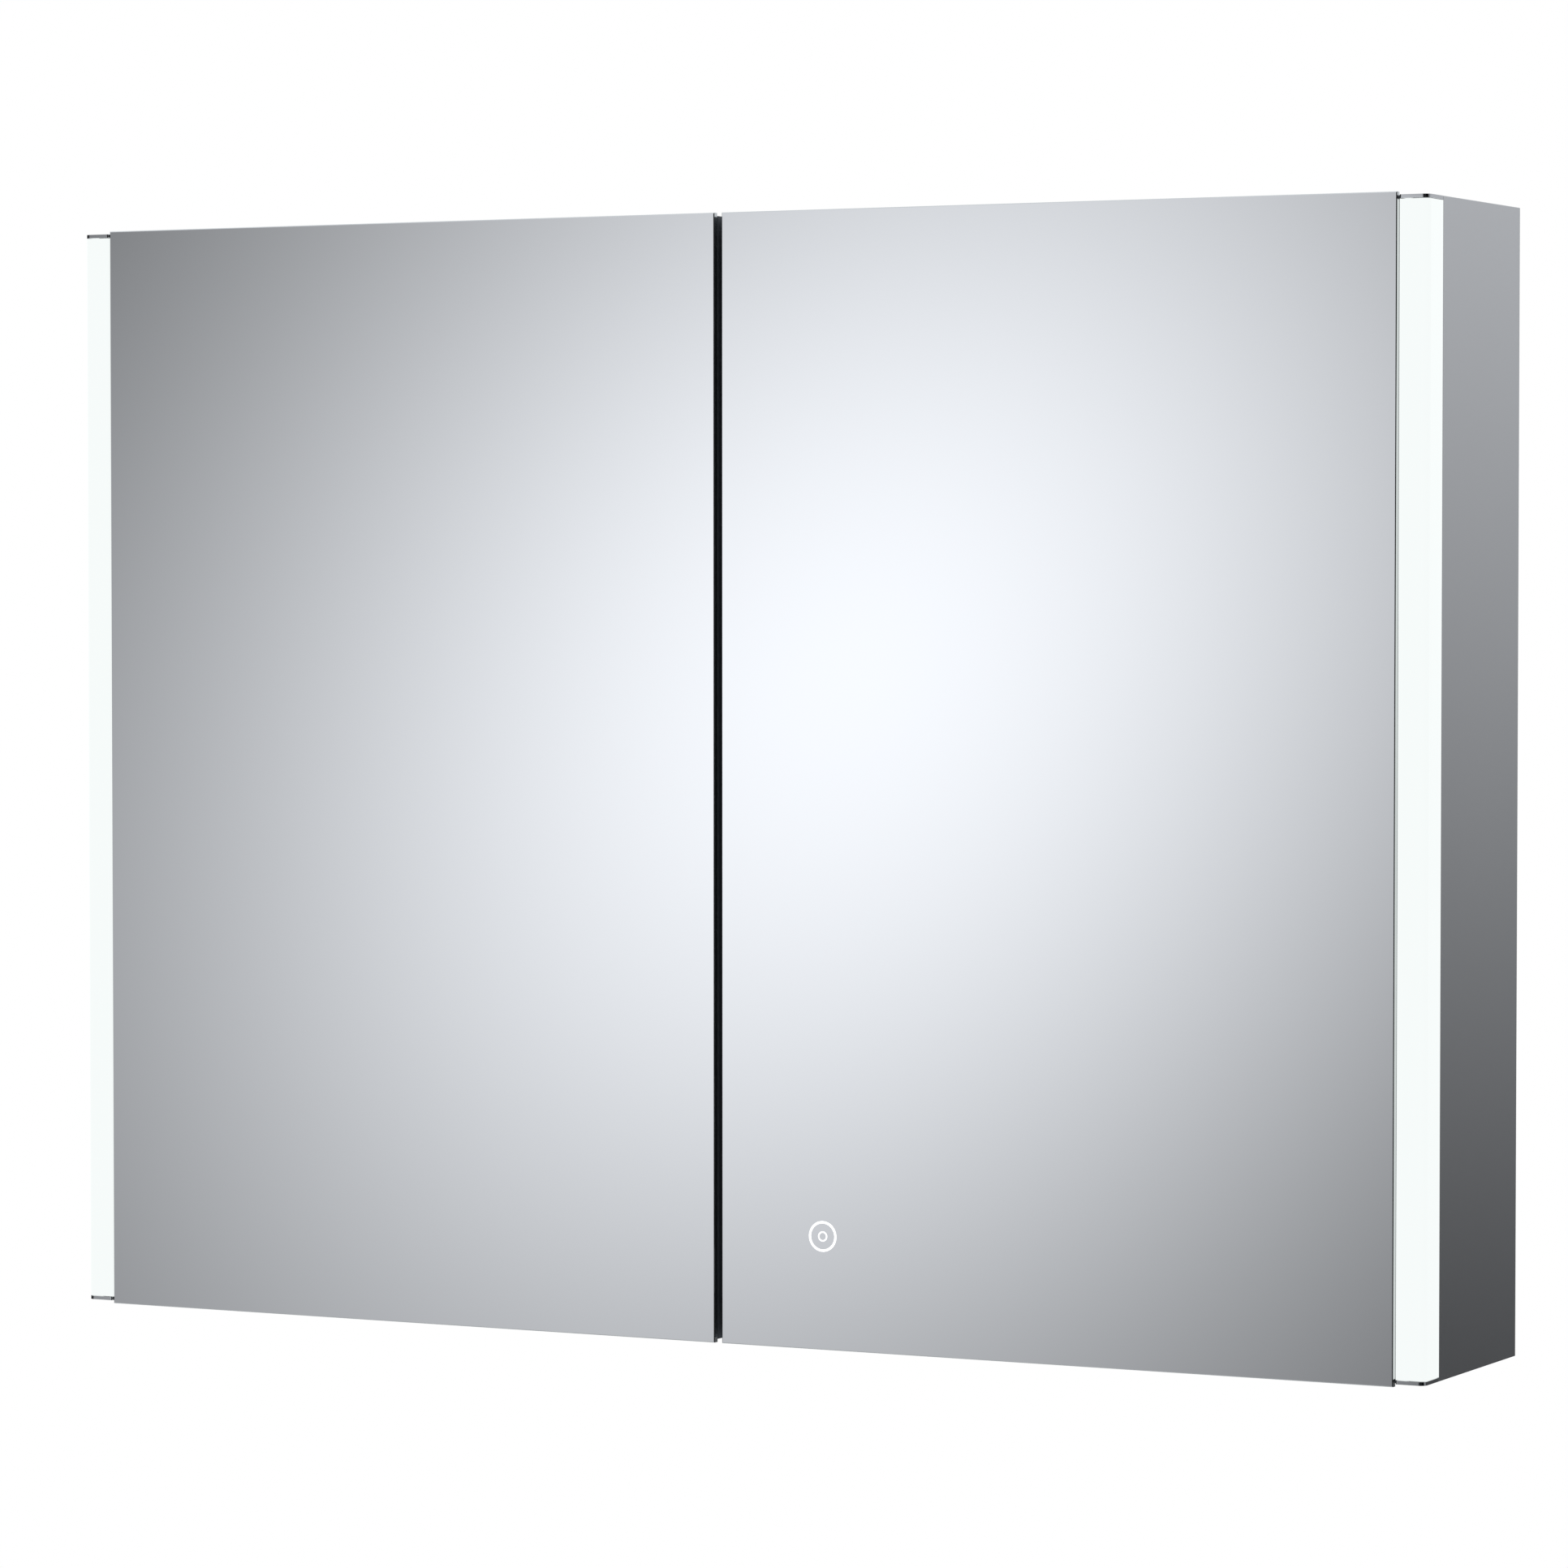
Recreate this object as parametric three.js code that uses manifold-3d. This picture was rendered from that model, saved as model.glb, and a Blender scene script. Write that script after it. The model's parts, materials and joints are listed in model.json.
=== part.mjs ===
// Wall-hung mirror cabinet: two mirror doors between two lit corner posts.
// Millimetres, +X to the right, +Y into the wall, +Z up.
// The origin is the centre of the back face, which lies against the wall.

import * as THREE from "three";
import { mergeVertices } from "three/addons/utils/BufferGeometryUtils.js";
import Module from "manifold-3d";

// Overall size
const WIDTH = 800;
const HEIGHT = 600; // the front mirrors' height
const DEPTH = 132; // wall to the front of the mirrors
const OVERHANG = 1.5; // front mirror past the carcass, above and below
const GAP = 0.3; // left where two pieces meet

// Doors
const DOOR_GAP = 4.4;
const POST_GROOVE = 1.1; // between a door's outer edge and the light post
const DOOR_THICKNESS = 18;
const FRONT_GLASS = 4;
const BACK_GLASS = 3;
const ARRIS = 0.45; // ground edge of the front mirror
const BACK_GLASS_MARGIN = 10;
const BACK_GLASS_HINGE_MARGIN = 50;

// Light posts
const POST_WIDTH = 15.9;
const POST_DEPTH = 19.8;
const POST_SETBACK = 0.4; // behind the face of the mirrors
const POST_OUTER_RADIUS = 3.5;
const POST_INNER_RADIUS = 1;
const POST_WALL = 2;
const CAP_THICKNESS = 1.9;

// Carcass sheet metal
const SHEET = 1.5;
const CARCASS_FRONT = 20.8; // behind the face of the mirrors
const LIP = 13; // folded lips of the top and bottom panels
const WALL_SETBACK = 0.4; // inner side wall past the doors' outer edges
const ELECTRICS_HEIGHT = 64; // compartment under the top panel
const ELECTRICS_DEPTH = 60;

// Interior
const SHELF_GLASS = 5;
const SHELF_HEIGHTS = { lower: -110, upper: 80 };
const SHELF_SIDE_CLEARANCE = 2.7;
const SHELF_FRONT = 30; // behind the face of the mirrors
const SHELF_BACK = 8; // ahead of the wall
const PIN_RADIUS = 2.5;
const PIN_INSET = 18; // from the shelf's front and back edges

// Concealed hinges. Places are measured from the door's outer edge inwards
// and from the face of the mirrors backwards.
const HINGE_HEIGHTS = { upper: 200, lower: -200 };
const ARM_PIVOT = { inward: 33, back: 28 };
const CUP_PIVOT = { inward: 14, back: 11.4 };
const LINK_LINE = [[18, 9.2], [25, 8.2], [32.5, 10.5], [34, 19]]; // between the pivots
const CUP_CENTRE = 21.5;
const CUP_RADIUS = 17.5;
const CUP_WALL = 1.2;
const CUP_FLOOR_BACK = 6.1;
const CUP_FLOOR = 0.5;
const HINGE_PIN_RADIUS = 1.2;
const LINK_HALF_WIDTH = 6;
const LINK_HALF_THICKNESS = 1.1;
const LINK_EYE_RADIUS = 2.6;
const ARM_CHEEK = 1.2;
const ARM = { thickness: 13, nose: 3, front: 44, back: 74 };
const PLATE = { thickness: 2, front: 42, back: 76, halfHeight: 22 };
const EARS = { halfWidth: 7, halfHeight: 29, thickness: 0.8 };

// Wall fixing
const RAIL_HALF_LENGTH = 340;
const RAIL_SEAT_DROP = 28.5; // top of the wall rail below the carcass top
const RAIL_FLANGE = 32;
const RAIL_SHEET = 2.5;
const RAIL_LIP = { reach: 9, height: 11, thickness: 2 };
const HOOK = { wallGap: 3.4, nose: 3, height: 20, reach: 13, thickness: 2 };

// Touch switch in the right door, from the door's inner and lower edges
const TOUCH_INWARD = 60;
const TOUCH_UP = 60;

// Derived places
const FACE = -DEPTH;
const CARCASS_TOP = HEIGHT / 2 - OVERHANG;
const POST_INNER = WIDTH / 2 - POST_WIDTH;
const DOOR_OUTER = POST_INNER - POST_GROOVE;
const DOOR_INNER = DOOR_GAP / 2;
const DOOR_BACK = FACE + DOOR_THICKNESS;
const BOARD_FRONT = FACE + FRONT_GLASS + GAP;
const POST_FRONT = FACE + POST_SETBACK;
const POST_BACK = POST_FRONT + POST_DEPTH;
const FRONT_EDGE = FACE + CARCASS_FRONT;
const WALL_INNER = DOOR_OUTER + WALL_SETBACK; // inner side wall's face inside the cabinet
const WALL_OUTER = WALL_INNER + SHEET;
const PANEL_SPAN = WALL_INNER - GAP;
const COVER_BOTTOM = CARCASS_TOP - ELECTRICS_HEIGHT - SHEET;

const wasm = await Module();
wasm.setup();

const MATERIALS = {
  satinMetal: { color: 0x9a9b9c, roughness: 0.35, metalness: 1 },
  polishedMetal: { color: 0xc4c6c8, roughness: 0.12, metalness: 1 },
  mirror: { color: 0xe8ecee, roughness: 0.02, metalness: 1 },
  board: { color: 0x43474c, roughness: 0.5, metalness: 0 },
  diffuser: { color: 0xf6fbfa, roughness: 0.4, metalness: 0 },
  aluminium: { color: 0xb9bbbd, roughness: 0.4, metalness: 1 },
  led: { color: 0xfff6e0, roughness: 0.5, metalness: 0 },
  glass: { color: 0xd7e6e2, roughness: 0.05, metalness: 0 },
  hingeSteel: { color: 0xb5b6b8, roughness: 0.25, metalness: 1 },
  plastic: { color: 0xe4e4e2, roughness: 0.5, metalness: 0 },
  darkPlastic: { color: 0x2a2b2d, roughness: 0.5, metalness: 0 },
};

const cabinet = new THREE.Group();

function add(name, geometry, material) {
  const mesh = new THREE.Mesh(geometry, new THREE.MeshStandardMaterial(MATERIALS[material]));
  mesh.name = name;
  cabinet.add(mesh);
}

// ---- shapes ----

function box(x0, x1, y0, y1, z0, z1) {
  const geometry = new THREE.BoxGeometry(Math.abs(x1 - x0), Math.abs(y1 - y0), Math.abs(z1 - z0));
  geometry.translate((x0 + x1) / 2, (y0 + y1) / 2, (z0 + z1) / 2);
  return geometry;
}

function outline(points) {
  return new THREE.Shape(points.map(([a, b]) => new THREE.Vector2(a, b)));
}

// An outline in X and Y, extruded up from z0 to z1
function extrudeUp(shape, z0, z1) {
  const options = { depth: z1 - z0, bevelEnabled: false, curveSegments: 6 };
  return new THREE.ExtrudeGeometry(shape, options).translate(0, 0, z0);
}

// An outline in Y and Z, extruded sideways from x0 to x1
function extrudeAcross(points, x0, x1) {
  const geometry = extrudeUp(outline(points), x0, x1);
  return geometry.applyMatrix4(new THREE.Matrix4().set(0, 0, 1, 0, 1, 0, 0, 0, 0, 1, 0, 0, 0, 0, 0, 1));
}

function cylinderAlongY(x, z, radius, y0, y1, segments = 48) {
  return new THREE.CylinderGeometry(radius, radius, y1 - y0, segments).translate(x, (y0 + y1) / 2, z);
}

function cylinderAlongZ(x, y, radius, z0, z1, segments = 20) {
  const geometry = new THREE.CylinderGeometry(radius, radius, z1 - z0, segments);
  return geometry.rotateX(Math.PI / 2).translate(x, y, (z0 + z1) / 2);
}

// The same piece on the left-hand side
function mirrored(geometry) {
  const flipped = geometry.index ? geometry.toNonIndexed() : geometry.clone();
  flipped.scale(-1, 1, 1);
  const place = flipped.attributes.position;
  for (let i = 0; i < place.count; i += 3) {
    const [x, y, z] = [place.getX(i), place.getY(i), place.getZ(i)];
    place.setXYZ(i, place.getX(i + 1), place.getY(i + 1), place.getZ(i + 1));
    place.setXYZ(i + 1, x, y, z);
  }
  flipped.computeVertexNormals();
  return flipped;
}

function addBothSides(name, geometry, material) {
  add(`${name}_right`, geometry, material);
  add(`${name}_left`, mirrored(geometry), material);
}

// ---- solids for joining and cutting ----

function solid(geometry) {
  const bare = geometry.clone();
  bare.deleteAttribute("normal");
  bare.deleteAttribute("uv");
  const merged = mergeVertices(bare, 1e-4);
  const vertProperties = new Float32Array(merged.attributes.position.array);
  const triVerts = new Uint32Array(merged.index.array);
  return new wasm.Manifold(new wasm.Mesh({ numProp: 3, vertProperties, triVerts }));
}

function geometryOf(manifold) {
  const mesh = manifold.getMesh();
  const geometry = new THREE.BufferGeometry();
  geometry.setAttribute("position", new THREE.BufferAttribute(mesh.vertProperties, 3));
  geometry.setIndex(new THREE.BufferAttribute(mesh.triVerts, 1));
  geometry.computeVertexNormals();
  return geometry;
}

function join(...geometries) {
  return geometries.map(solid).reduce((whole, next) => whole.add(next));
}

function cut(base, ...cutters) {
  return cutters.map(solid).reduce((whole, next) => whole.subtract(next), base);
}

// ---- carcass ----

function makeCarcass() {
  for (const [name, up] of [["top_panel", 1], ["bottom_panel", -1]]) {
    const section = [
      [FRONT_EDGE, CARCASS_TOP],
      [FRONT_EDGE, CARCASS_TOP - LIP],
      [FRONT_EDGE + SHEET, CARCASS_TOP - LIP],
      [FRONT_EDGE + SHEET, CARCASS_TOP - SHEET],
      [-SHEET, CARCASS_TOP - SHEET],
      [-SHEET, CARCASS_TOP - LIP],
      [0, CARCASS_TOP - LIP],
      [0, CARCASS_TOP],
    ];
    const points = section.map(([y, z]) => [y, up * z]);
    add(name, extrudeAcross(points, -PANEL_SPAN, PANEL_SPAN), "satinMetal");
  }

  const innerWall = box(WALL_INNER, WALL_OUTER, FRONT_EDGE, 0, -CARCASS_TOP, CARCASS_TOP);
  addBothSides("inner_wall", innerWall, "satinMetal");

  const trayFront = POST_BACK + GAP;
  const trayInner = WALL_OUTER + GAP;
  const tray = box(trayInner, WIDTH / 2, trayFront, 0, -CARCASS_TOP, CARCASS_TOP);
  const hollow = box(
    trayInner - SHEET,
    WIDTH / 2 - SHEET,
    trayFront + SHEET,
    -SHEET,
    -CARCASS_TOP + SHEET,
    CARCASS_TOP - SHEET,
  );
  addBothSides("side_panel", geometryOf(cut(solid(tray), hollow)), "satinMetal");

  const backBottom = -CARCASS_TOP + LIP + GAP;
  add("back_panel", box(-PANEL_SPAN, PANEL_SPAN, -SHEET, 0, backBottom, COVER_BOTTOM), "satinMetal");
}

// ---- light posts ----

function postOutline(inset) {
  const inner = POST_INNER + inset;
  const outer = WIDTH / 2 - inset;
  const front = POST_FRONT + inset;
  const rInner = Math.max(POST_INNER_RADIUS - inset, 0.2);
  const rOuter = POST_OUTER_RADIUS - inset;
  const shape = new THREE.Shape();
  shape.moveTo(inner, POST_BACK);
  shape.lineTo(inner, front + rInner);
  shape.absarc(inner + rInner, front + rInner, rInner, Math.PI, 1.5 * Math.PI, false);
  shape.absarc(outer - rOuter, front + rOuter, rOuter, 1.5 * Math.PI, 2 * Math.PI, false);
  shape.lineTo(outer, POST_BACK);
  shape.closePath();
  return shape;
}

function makeLightPosts() {
  const capInner = CARCASS_TOP - CAP_THICKNESS;
  const diffuserTop = capInner - GAP;
  const outside = solid(extrudeUp(postOutline(0), -diffuserTop, diffuserTop));
  const inside = extrudeUp(postOutline(POST_WALL), -diffuserTop - 1, diffuserTop + 1);
  const mouth = box(
    POST_INNER + POST_WALL,
    WIDTH / 2 - POST_WALL,
    POST_BACK - 1,
    POST_BACK + 1,
    -diffuserTop - 1,
    diffuserTop + 1,
  );
  addBothSides("diffuser", geometryOf(cut(outside, inside, mouth)), "diffuser");

  for (const [name, z0] of [["upper", capInner], ["lower", -CARCASS_TOP]]) {
    const cap = extrudeUp(postOutline(0), z0, z0 + CAP_THICKNESS);
    addBothSides(`end_cap_${name}`, cap, "polishedMetal");
  }

  const inner = POST_INNER + POST_WALL + GAP;
  const outer = WIDTH / 2 - POST_WALL - GAP;
  const wall = 1;
  const rim = POST_BACK - 9;
  const channel = outline([
    [inner, POST_BACK],
    [inner, rim],
    [inner + wall, rim],
    [inner + wall, POST_BACK - SHEET],
    [outer - wall, POST_BACK - SHEET],
    [outer - wall, rim],
    [outer, rim],
    [outer, POST_BACK],
  ]);
  addBothSides("light_channel", extrudeUp(channel, -diffuserTop, diffuserTop), "aluminium");

  const stripBack = POST_BACK - SHEET - GAP;
  const stripFront = stripBack - 1.6;
  const stripTop = diffuserTop - 6;
  const strip = box(inner + wall + GAP, outer - wall - GAP, stripFront, stripBack, -stripTop, stripTop);
  addBothSides("led_strip", strip, "led");
}

// ---- interior ----

function makeShelfPin(x, y, z) {
  const collar = { radius: 4.2, length: 1.6 };
  const length = 10.6;
  const tip = 0.6;
  const profile = [
    [0, 0],
    [collar.radius, 0],
    [collar.radius, collar.length],
    [PIN_RADIUS, collar.length],
    [PIN_RADIUS, length - tip],
    [PIN_RADIUS - tip, length],
    [0, length],
  ];
  const points = profile.map(([r, along]) => new THREE.Vector2(r, along));
  const pin = new THREE.LatheGeometry(points, 20);
  return pin.rotateZ(Math.PI / 2).translate(x, y, z);
}

function makeInterior() {
  const shelfFront = FACE + SHELF_FRONT;
  const shelfHalf = WALL_INNER - SHELF_SIDE_CLEARANCE;
  for (const [name, z] of Object.entries(SHELF_HEIGHTS)) {
    const shelf = box(-shelfHalf, shelfHalf, shelfFront, -SHELF_BACK, z, z + SHELF_GLASS);
    add(`shelf_${name}`, shelf, "glass");
    const pinRows = [["front", shelfFront + PIN_INSET], ["rear", -SHELF_BACK - PIN_INSET]];
    for (const [row, y] of pinRows) {
      const pin = makeShelfPin(WALL_INNER - GAP, y, z - GAP - PIN_RADIUS);
      addBothSides(`shelf_pin_${name}_${row}`, pin, "hingeSteel");
    }
  }

  const coverFront = -ELECTRICS_DEPTH;
  const coverTop = CARCASS_TOP - SHEET - GAP;
  const coverBase = COVER_BOTTOM + GAP;
  const coverSection = [
    [coverFront, coverTop],
    [coverFront, coverBase],
    [-GAP, coverBase],
    [-GAP, coverBase + SHEET],
    [coverFront + SHEET, coverBase + SHEET],
    [coverFront + SHEET, coverTop],
  ];
  add("driver_cover", extrudeAcross(coverSection, -PANEL_SPAN, PANEL_SPAN), "satinMetal");

  const driver = { halfLength: 90, front: -54, back: -18, height: 22 };
  const driverBase = coverBase + SHEET + GAP;
  const chamfer = 3;
  const driverSection = [
    [driver.front, driverBase],
    [driver.back, driverBase],
    [driver.back, driverBase + driver.height - chamfer],
    [driver.back - chamfer, driverBase + driver.height],
    [driver.front + chamfer, driverBase + driver.height],
    [driver.front, driverBase + driver.height - chamfer],
  ];
  add("led_driver", extrudeAcross(driverSection, -driver.halfLength, driver.halfLength), "plastic");

  // Gland on the driver's right end: a collar, a body and a tapered mouth round the cable hole
  const hole = 3.5;
  const glandLength = 18;
  const gland = [
    [hole, 0],
    [8, 0],
    [8, 5],
    [6.5, 6],
    [6.5, 14],
    [5, glandLength],
    [hole, glandLength],
    [hole, 0],
  ];
  const glandPoints = gland.map(([r, along]) => new THREE.Vector2(r, along));
  const glandBody = new THREE.LatheGeometry(glandPoints, 32).rotateZ(-Math.PI / 2);
  const glandZ = driverBase + driver.height / 2;
  glandBody.translate(driver.halfLength + GAP, (driver.front + driver.back) / 2, glandZ);
  add("cable_gland", glandBody, "darkPlastic");
}

// ---- wall fixing: a hook rail on the cabinet drops into a channel on the wall ----

function makeWallFixing() {
  const seat = CARCASS_TOP - RAIL_SEAT_DROP;
  const base = seat - RAIL_FLANGE;
  const lipFront = -RAIL_LIP.reach;
  const lipBack = lipFront + RAIL_LIP.thickness;
  const wallSection = [
    [0, base],
    [0, seat],
    [lipBack, seat],
    [lipBack, seat + RAIL_LIP.height],
    [lipFront, seat + RAIL_LIP.height],
    [lipFront, seat - RAIL_SHEET],
    [-RAIL_SHEET, seat - RAIL_SHEET],
    [-RAIL_SHEET, base],
  ];
  add("wall_rail", extrudeAcross(wallSection, -RAIL_HALF_LENGTH, RAIL_HALF_LENGTH), "aluminium");

  const hookTop = seat + HOOK.height;
  const noseBack = -HOOK.wallGap;
  const noseFront = noseBack - HOOK.nose;
  const hookSection = [
    [noseBack, seat + GAP],
    [noseBack, hookTop],
    [-HOOK.reach, hookTop],
    [-HOOK.reach, base],
    [-HOOK.reach + HOOK.thickness, base],
    [-HOOK.reach + HOOK.thickness, hookTop - RAIL_SHEET],
    [noseFront, hookTop - RAIL_SHEET],
    [noseFront, seat + GAP],
  ];
  add("hanging_rail", extrudeAcross(hookSection, -RAIL_HALF_LENGTH, RAIL_HALF_LENGTH), "aluminium");
}

// ---- doors ----

function makeDoors() {
  const half = HEIGHT / 2;
  const faceOutline = outline([
    [DOOR_INNER + ARRIS, -half + ARRIS],
    [DOOR_OUTER - ARRIS, -half + ARRIS],
    [DOOR_OUTER - ARRIS, half - ARRIS],
    [DOOR_INNER + ARRIS, half - ARRIS],
  ]);
  const glass = new THREE.ExtrudeGeometry(faceOutline, {
    depth: FRONT_GLASS - 2 * ARRIS,
    bevelEnabled: true,
    bevelThickness: ARRIS,
    bevelSize: ARRIS,
    bevelSegments: 1,
  });
  glass.rotateX(Math.PI / 2).translate(0, FACE + FRONT_GLASS - ARRIS, 0);
  addBothSides("front_mirror", glass, "mirror");

  const board = solid(box(DOOR_INNER, DOOR_OUTER, BOARD_FRONT, DOOR_BACK, -CARCASS_TOP, CARCASS_TOP));
  const backInner = DOOR_INNER + BACK_GLASS_MARGIN;
  const backOuter = DOOR_OUTER - BACK_GLASS_HINGE_MARGIN;
  const backTop = CARCASS_TOP - BACK_GLASS_MARGIN;
  const rebate = box(
    backInner - GAP,
    backOuter + GAP,
    DOOR_BACK - BACK_GLASS - GAP,
    DOOR_BACK + 1,
    -backTop - GAP,
    backTop + GAP,
  );
  const cupX = DOOR_OUTER - CUP_CENTRE;
  const recesses = Object.values(HINGE_HEIGHTS).map((z) =>
    cylinderAlongY(cupX, z, CUP_RADIUS + GAP, FACE + CUP_FLOOR_BACK - GAP, DOOR_BACK + 1),
  );
  const backMirror = box(backInner, backOuter, DOOR_BACK - BACK_GLASS, DOOR_BACK, -backTop, backTop);
  addBothSides("back_mirror", backMirror, "mirror");

  const plainBoard = cut(board, rebate, ...recesses);
  add("door_board_left", mirrored(geometryOf(plainBoard)), "board");

  const sensor = { width: 40, height: 28, thickness: 6 };
  const sensorBox = (margin) => {
    const geometry = new THREE.BoxGeometry(
      sensor.width + 2 * margin,
      sensor.thickness + 2 * margin,
      sensor.height + 2 * margin,
    );
    return geometry.translate(DOOR_INNER + TOUCH_INWARD, BOARD_FRONT + sensor.thickness / 2, TOUCH_UP - half);
  };
  add("door_board_right", geometryOf(cut(plainBoard, sensorBox(GAP))), "board");
  add("touch_sensor", sensorBox(0), "darkPlastic");

  const bumper = { inward: 22, radius: 4 };
  const bumperX = DOOR_INNER + bumper.inward;
  const bumperZ = -CARCASS_TOP + LIP / 2;
  const pad = cylinderAlongY(bumperX, bumperZ, bumper.radius, DOOR_BACK + GAP, FRONT_EDGE - GAP, 24);
  addBothSides("door_bumper", pad, "plastic");
}

// ---- hinges ----

// A bar of even thickness along a line of points, as an outline
function barOutline(points, halfThickness) {
  const sides = [[], []];
  points.forEach((point, i) => {
    const before = points[Math.max(i - 1, 0)];
    const after = points[Math.min(i + 1, points.length - 1)];
    const along = new THREE.Vector2().subVectors(after, before).normalize();
    const across = new THREE.Vector2(-along.y, along.x).multiplyScalar(halfThickness);
    sides[0].push(point.clone().add(across));
    sides[1].unshift(point.clone().sub(across));
  });
  return new THREE.Shape([...sides[0], ...sides[1]]);
}

// A place on the right door, from its outer edge inwards and its face backwards
function doorPlace(inward, back) {
  return new THREE.Vector2(DOOR_OUTER - inward, FACE + back);
}

// Link: a goose-neck bar between the two pivots, so that it clears the door's edge when open
function makeHingeLink(name, z, armPivot, cupPivot, pinHalf) {
  const between = LINK_LINE.map(([inward, back]) => doorPlace(inward, back));
  const line = new THREE.SplineCurve([cupPivot, ...between, armPivot]).getPoints(24);
  const [bottom, top] = [z - LINK_HALF_WIDTH, z + LINK_HALF_WIDTH];
  const bar = extrudeUp(barOutline(line, LINK_HALF_THICKNESS), bottom, top);
  const eyes = [armPivot, cupPivot].map((p) => cylinderAlongZ(p.x, p.y, LINK_EYE_RADIUS, bottom, top));
  const holes = [armPivot, cupPivot].map((p) =>
    cylinderAlongZ(p.x, p.y, HINGE_PIN_RADIUS + GAP, z - pinHalf, z + pinHalf),
  );
  addBothSides(`hinge_link_${name}`, geometryOf(cut(join(bar, ...eyes), ...holes)), "hingeSteel");
}

// Cup: a thin shell let into the door, with two ears and the cup pivot's pin
function makeHingeCup(name, z, cupPivot) {
  const centre = doorPlace(CUP_CENTRE, CUP_FLOOR_BACK);
  const earFront = DOOR_BACK + GAP;
  const earBack = earFront + EARS.thickness;
  const past = earBack + 1;
  const ears = box(
    centre.x - EARS.halfWidth,
    centre.x + EARS.halfWidth,
    earFront,
    earBack,
    z - EARS.halfHeight,
    z + EARS.halfHeight,
  );
  const rim = cylinderAlongY(centre.x, z, CUP_RADIUS, centre.y, earBack);
  const mouth = { halfWidth: 20, halfHeight: 10 };
  const linkGap = box(
    centre.x - mouth.halfWidth,
    centre.x + mouth.halfWidth,
    DOOR_BACK,
    past,
    z - mouth.halfHeight,
    z + mouth.halfHeight,
  );
  const bowl = cylinderAlongY(centre.x, z, CUP_RADIUS - CUP_WALL, centre.y + CUP_FLOOR, past);
  const shell = cut(join(rim, ears), linkGap, bowl);
  // The pin ends in the middle of the cup's round wall
  const pinHalf = Math.sqrt((CUP_RADIUS - CUP_WALL / 2) ** 2 - (cupPivot.x - centre.x) ** 2);
  const pin = cylinderAlongZ(cupPivot.x, cupPivot.y, HINGE_PIN_RADIUS, z - pinHalf, z + pinHalf);
  addBothSides(`hinge_cup_${name}`, geometryOf(shell.add(solid(pin))), "hingeSteel");
}

// Arm: a bar from the mounting plate, cranked to its pivot and forked round the link
function makeHingeArm(name, z, armPivot, cheekInside, cheekOutside) {
  const plateFace = WALL_INNER - GAP - PLATE.thickness;
  const armBase = plateFace - GAP;
  const armFace = armBase - ARM.thickness;
  const neck = { innerBend: 8, outerBend: 6, noseEnd: 2, slope: 2 };
  const side = new THREE.Shape();
  side.moveTo(armPivot.x - ARM.nose, armPivot.y);
  side.lineTo(armPivot.x - ARM.nose, armPivot.y + neck.innerBend);
  side.lineTo(armFace, FACE + ARM.front + neck.slope);
  side.lineTo(armFace, FACE + ARM.back);
  side.lineTo(armBase, FACE + ARM.back);
  side.lineTo(armBase, FACE + ARM.front);
  side.lineTo(armFace + neck.slope / 2, armPivot.y + neck.outerBend);
  side.lineTo(armPivot.x + ARM.nose, armPivot.y + neck.noseEnd);
  side.absarc(armPivot.x, armPivot.y, ARM.nose, 0, -Math.PI, true);
  const bar = extrudeUp(side, z - cheekOutside, z + cheekOutside);
  const slot = { halfWidth: 20, ahead: 10, behind: 7 };
  const fork = box(
    armPivot.x - slot.halfWidth,
    armPivot.x + slot.halfWidth,
    armPivot.y - slot.ahead,
    armPivot.y + slot.behind,
    z - cheekInside,
    z + cheekInside,
  );
  const pin = cylinderAlongZ(armPivot.x, armPivot.y, HINGE_PIN_RADIUS, z - cheekOutside, z + cheekOutside);
  addBothSides(`hinge_arm_${name}`, geometryOf(cut(solid(bar), fork).add(solid(pin))), "hingeSteel");

  const [plateFront, plateBack] = [FACE + PLATE.front, FACE + PLATE.back];
  const [plateBottom, plateTop] = [z - PLATE.halfHeight, z + PLATE.halfHeight];
  const plate = box(plateFace, WALL_INNER - GAP, plateFront, plateBack, plateBottom, plateTop);
  addBothSides(`hinge_plate_${name}`, plate, "hingeSteel");
}

function makeHinge(name, z) {
  const armPivot = doorPlace(ARM_PIVOT.inward, ARM_PIVOT.back);
  const cupPivot = doorPlace(CUP_PIVOT.inward, CUP_PIVOT.back);
  const cheekInside = LINK_HALF_WIDTH + GAP;
  const cheekOutside = cheekInside + ARM_CHEEK;
  makeHingeLink(name, z, armPivot, cupPivot, cheekOutside);
  makeHingeCup(name, z, cupPivot);
  makeHingeArm(name, z, armPivot, cheekInside, cheekOutside);
}

makeCarcass();
makeLightPosts();
makeInterior();
makeWallFixing();
makeDoors();
for (const [name, z] of Object.entries(HINGE_HEIGHTS)) {
  makeHinge(name, z);
}

export default cabinet;
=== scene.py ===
"""Looks of the wall-hung mirror cabinet: materials, fixings and the touch mark.

The CAD nodes keep their meshes and places, and get materials and modifiers. Metres, in the frame
of the CAD model: +X to the right, +Y into the wall, +Z up, origin at the centre of the back face.
"""

import json
import math

import bmesh
import bpy
from mathutils import Euler, Matrix, Vector


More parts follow.
